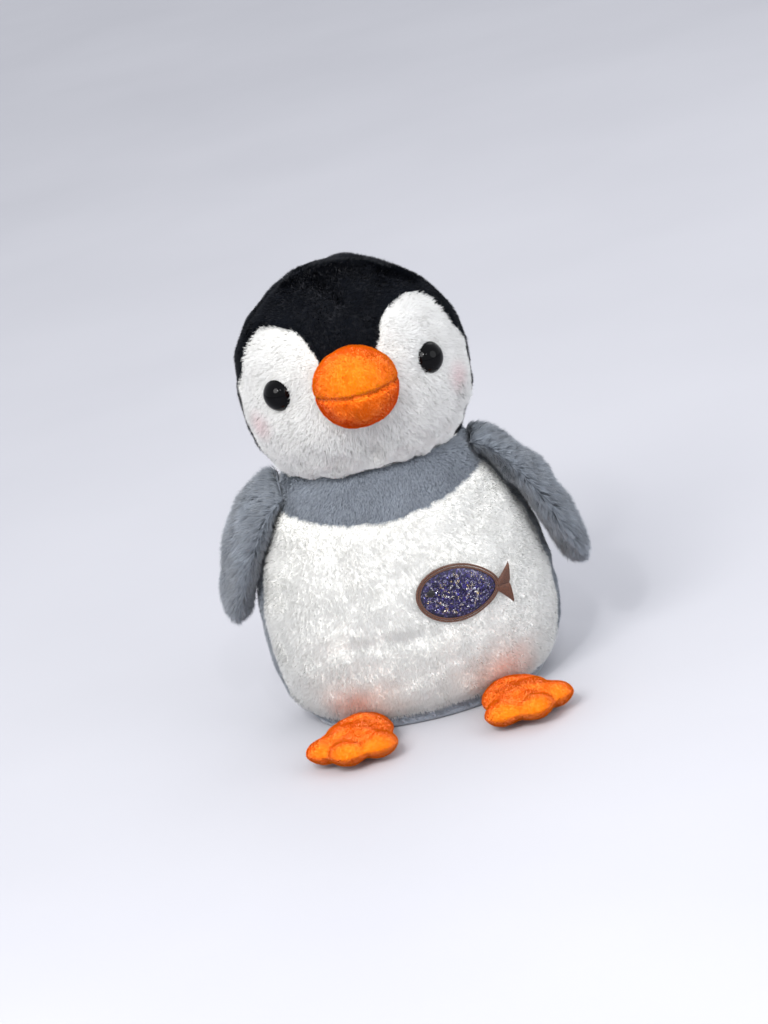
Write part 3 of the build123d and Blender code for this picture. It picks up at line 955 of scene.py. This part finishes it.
def satin_mesh(name, starts, ends, normals, width, material, arch):
    """Satin stitches: arched threads from start points to end points."""
    steps, ring = 7, 5
    t = np.linspace(0, 1, steps)
    all_points, all_faces = [], []
    base = 0
    turn = np.arange(ring) * (2 * math.pi / ring)
    for start, end, normal in zip(starts, ends, normals):
        axis = unit(end - start)
        across = np.cross(axis, normal)
        rise = arch * np.sqrt(np.clip(1 - (2 * t - 1) ** 2, 0, 1))
        line = start + (end - start) * t[:, None] + normal * rise[:, None]
        thin = width * 0.5 * np.clip(np.minimum(t, 1 - t) * 8 + 0.35, 0, 1)
        circle = np.cos(turn)[:, None] * across + np.sin(turn)[:, None] * normal
        all_points.append((line[:, None] + circle[None] * thin[:, None, None]).reshape(-1, 3))
        all_faces.append(grid_faces(steps, ring, True) + base)
        base += steps * ring
    return add_object(name, np.vstack(all_points), np.vstack(all_faces), material)


def thread_material(name, dark, light):
    material = cloth_material(name, dark, light, 2500.0, 0.3)
    preset(node_of(material, "BSDF_PRINCIPLED"), {"Roughness": 0.42, "Anisotropic": 0.5})
    return material


brown_thread = thread_material("brown satin thread", (0.034, 0.012, 0.007), (0.135, 0.046, 0.022))
black_thread = thread_material("black satin thread", (0.003, 0.003, 0.004), (0.012, 0.011, 0.013))


def glitter_material(name, scale, channel, stops, roughness, metallic):
    """A random colour from a ramp in each small cell."""
    material, nodes, links, shader = new_material(name)
    cells = preset(nodes.new("ShaderNodeTexVoronoi"), {"Scale": scale})
    links.new(object_coordinates(nodes), cells.inputs["Vector"])
    value = nodes.new("ShaderNodeSeparateColor")
    links.new(cells.outputs["Color"], value.inputs["Color"])
    links.new(ramp(nodes, links, value.outputs[channel], stops), shader.inputs["Base Color"])
    preset(shader, {"Roughness": roughness, "Metallic": metallic})
    return material


glitter_cloth = glitter_material("dark glitter cloth", 1400.0, "Red", [
    (0.0, (0.008, 0.007, 0.014)), (0.5, (0.016, 0.013, 0.04)), (0.8, (0.035, 0.026, 0.12)),
    (1.0, (0.16, 0.15, 0.20)),
], 0.35, 0.4)
glitter_flake = glitter_material("glitter flakes", 900.0, "Green", [
    (0.0, (0.006, 0.005, 0.014)), (0.45, (0.014, 0.010, 0.05)), (0.66, (0.03, 0.022, 0.20)),
    (0.82, (0.60, 0.60, 0.62)), (0.94, (0.50, 0.38, 0.20)),
], 0.22, 0.9)


def on_fish(along, up):
    """Front-view places from places in the fish's own frame, nose at -X."""
    cos, sin = math.cos(FISH_DROOP), math.sin(FISH_DROOP)
    return FISH_X + along * cos + up * sin, FISH_Z - along * sin + up * cos


def fish_outline(angle, inset):
    """The fish's outline, blunt at the nose and pointed at the tail, moved in by a distance."""
    taper = 1 - 0.16 * np.clip(np.cos(angle), 0, 1) ** 2 - 0.04 * np.clip(-np.cos(angle), 0, 1) ** 2
    along = (FISH_RADII[0] - inset) * np.cos(angle)
    up = (FISH_RADII[1] - inset) * np.sin(angle) * taper * (1 - 0.10 * np.cos(angle))
    return along, up


def fish_body():
    """The glitter cloth: a low cushion inside its stitched border."""
    rows, columns = 26, 120
    ring = np.linspace(1, 0.01, rows)[:, None]
    along, up = fish_outline(np.arange(columns) * (2 * math.pi / columns), FISH_BORDER * 0.6)
    x, z = on_fish(ring * along, ring * up)
    lift = 0.0004 + 0.0010 * (1 - ring**4) * np.ones(columns)
    points, normals = on_belly(x.ravel(), z.ravel(), lift.ravel())
    faces = grid_faces(rows, columns, True)
    if vertex_normals(points, faces)[:, 1].mean() > 0:
        faces = faces[:, ::-1]
    return Patch(points, vertex_normals(points, faces), faces)


cloth = shell("fish_glitter_cloth", fish_body(), glitter_cloth, 0.0, 0.0008)
ride_with(cloth, "torso", ["fish_patch"])

rng = np.random.default_rng(7)
FLAKES = 3200
spot = rng.random((FLAKES, 2))
flake_ring = np.sqrt(spot[:, 0]) * 0.97
along, up = fish_outline(spot[:, 1] * 2 * math.pi, FISH_BORDER)
flake_x, flake_z = on_fish(flake_ring * along, flake_ring * up)
centres, flake_normals = on_belly(flake_x, flake_z, 0.0005 + 0.0010 * (1 - flake_ring**4))
tilted = unit(flake_normals + rng.normal(scale=0.35, size=(FLAKES, 3)))
edge_a = unit(np.cross(tilted, rng.normal(size=(FLAKES, 3))))
edge_b = np.cross(tilted, edge_a)
size = rng.uniform(0.00012, 0.00025, (FLAKES, 1, 1))
turn = np.arange(6) * math.pi / 3
hexagon = np.cos(turn)[None, :, None] * edge_a[:, None] + np.sin(turn)[None, :, None] * edge_b[:, None]
flake_points = centres[:, None] + hexagon * size
flakes = add_object("fish_glitter_flakes", flake_points.reshape(-1, 3), np.arange(FLAKES * 6).reshape(-1, 6),
                    glitter_flake, False)
ride_with(flakes, "torso")


def satin_ring(name, outside, inside, count, slant, replaced):
    """A ring of slanting satin stitches between two insets of the fish's outline."""
    angle = np.linspace(0, 2 * math.pi, count, endpoint=False)
    starts, normals = on_belly(*on_fish(*fish_outline(angle, inside)), 0.0009)
    ends, _ = on_belly(*on_fish(*fish_outline(angle + slant, outside)), 0.0006)
    ring = satin_mesh(name, starts, ends, normals, 0.00040, brown_thread, 0.0006)
    ride_with(ring, "torso", replaced)


satin_ring("fish_satin_border_outer", 0.0, FISH_BORDER * 0.52, 330, 0.03, ["fish_border"])
satin_ring("fish_satin_border_inner", FISH_BORDER * 0.50, FISH_BORDER, 310, -0.03, [])

TAIL_ROWS = 64
u = np.linspace(0, 1, TAIL_ROWS)
spread = 0.0018 + 0.0082 * u**1.2
tail_root = FISH_RADII[0] - 0.0024
middle_along = tail_root + 0.0071 * u
for half_name, way, reach in (("upper", 1.0, 0.0074), ("lower", -1.0, 0.0088)):
    starts, normals = on_belly(*on_fish(middle_along, np.full(TAIL_ROWS, TAIL_UP)), 0.0008)
    ends, _ = on_belly(*on_fish(tail_root + reach * u, TAIL_UP + way * spread), 0.0006)
    tail = satin_mesh(f"fish_satin_tail_{half_name}", starts, ends, normals, 0.00042, brown_thread, 0.0007)
    ride_with(tail, "torso", ["fish_tail"] if way > 0 else [])

EYE_STITCHES = 16
EYE_DOT = 0.0019
EYE_ALONG, EYE_UP = -0.0135, 0.0015
u = np.linspace(-0.94, 0.94, EYE_STITCHES)
chord = EYE_DOT * np.sqrt(1 - u**2)
starts, normals = on_belly(*on_fish(EYE_ALONG + EYE_DOT * u, EYE_UP - chord), 0.0014)
ends, _ = on_belly(*on_fish(EYE_ALONG + EYE_DOT * u, EYE_UP + chord), 0.0014)
fish_eye = satin_mesh("fish_satin_eye", starts, ends, normals, 0.00034, black_thread, 0.0006)
ride_with(fish_eye, "torso", ["fish_eye"])


# ---- stage, light, camera
def floor():
    """A wide pale floor."""
    ring = np.array([0.0, 0.6, 1.2, 2.5, 5.0, 10.0, 20.0, 40.0])
    angle = np.arange(48) * (math.pi / 24)
    x = ring[::-1, None] * np.cos(angle)
    y = ring[::-1, None] * np.sin(angle)
    z = np.full_like(x, -0.0003)
    points = np.stack([x, y, z], axis=-1).reshape(-1, 3)
    material, nodes, links, shader = new_material("pale studio floor")
    stops = [(0.3, (0.40, 0.40, 0.43)), (0.7, (0.43, 0.43, 0.46))]
    tone = ramp(nodes, links, noise(nodes, links, 3.0), stops)
    links.new(tone, shader.inputs["Base Color"])
    preset(shader, {"Roughness": 0.7})
    add_object("studio_floor", points, grid_faces(len(ring), 48, True), material)


def area_light(name, place, target, size, power, colour=(1, 1, 1)):
    light = bpy.data.lights.new(name, "AREA")
    light.shape = "DISK"
    light.size = size
    light.energy = power
    light.color = colour
    lamp = placed(name, light)
    lamp.location = place
    lamp.rotation_euler = (Vector(target) - Vector(place)).to_track_quat("-Z", "Y").to_euler()


floor()
area_light("key", (-0.7, -1.1, 1.25), (0, 0, 0.12), 0.9, 24.5, (1.0, 0.99, 0.97))
area_light("fill", (1.2, -0.9, 0.7), (0, 0, 0.1), 1.2, 10.5, (0.95, 0.97, 1.0))
area_light("lamp_left", (-0.28, -0.9, 0.95), (0, 0, 0.15), 0.09, 3.2)
area_light("lamp_right", (0.10, -0.95, 0.95), (0, 0, 0.15), 0.06, 1.5)
area_light("back", (0.5, 1.0, 1.3), (0, 0, 0.12), 1.0, 4.5)
world = bpy.data.worlds.new("studio")
world.use_nodes = True
preset(world.node_tree.nodes["Background"], {"Color": (0.93, 0.95, 1.0, 1), "Strength": 1.15})
bpy.context.scene.world = world
bpy.context.scene.view_settings.view_transform = "Standard"

CAMERA_ELEVATION = math.radians(18.0)
CAMERA_ROLL = math.radians(14.0)
CAMERA_DISTANCE = 1.5
CAMERA_TARGET = Vector((-0.0015, 0.0, 0.0959))
VIEW_HEIGHT = 0.505856  # at the target

camera_data = bpy.data.cameras.new("camera")
camera_data.sensor_fit = "AUTO"
camera_data.sensor_width = 36.0
camera_data.lens = camera_data.sensor_width * CAMERA_DISTANCE / VIEW_HEIGHT
camera_data.clip_start = 0.01
camera = placed("camera", camera_data)
towards_camera = Vector((0, -math.cos(CAMERA_ELEVATION), math.sin(CAMERA_ELEVATION)))
plain_right = Vector((1, 0, 0))
plain_up = towards_camera.cross(plain_right)
right = plain_right * math.cos(CAMERA_ROLL) - plain_up * math.sin(CAMERA_ROLL)
up = plain_right * math.sin(CAMERA_ROLL) + plain_up * math.cos(CAMERA_ROLL)
axes = Matrix((right, up, towards_camera)).transposed()
camera.matrix_world = Matrix.Translation(CAMERA_TARGET + towards_camera * CAMERA_DISTANCE) @ axes.to_4x4()
bpy.context.scene.camera = camera
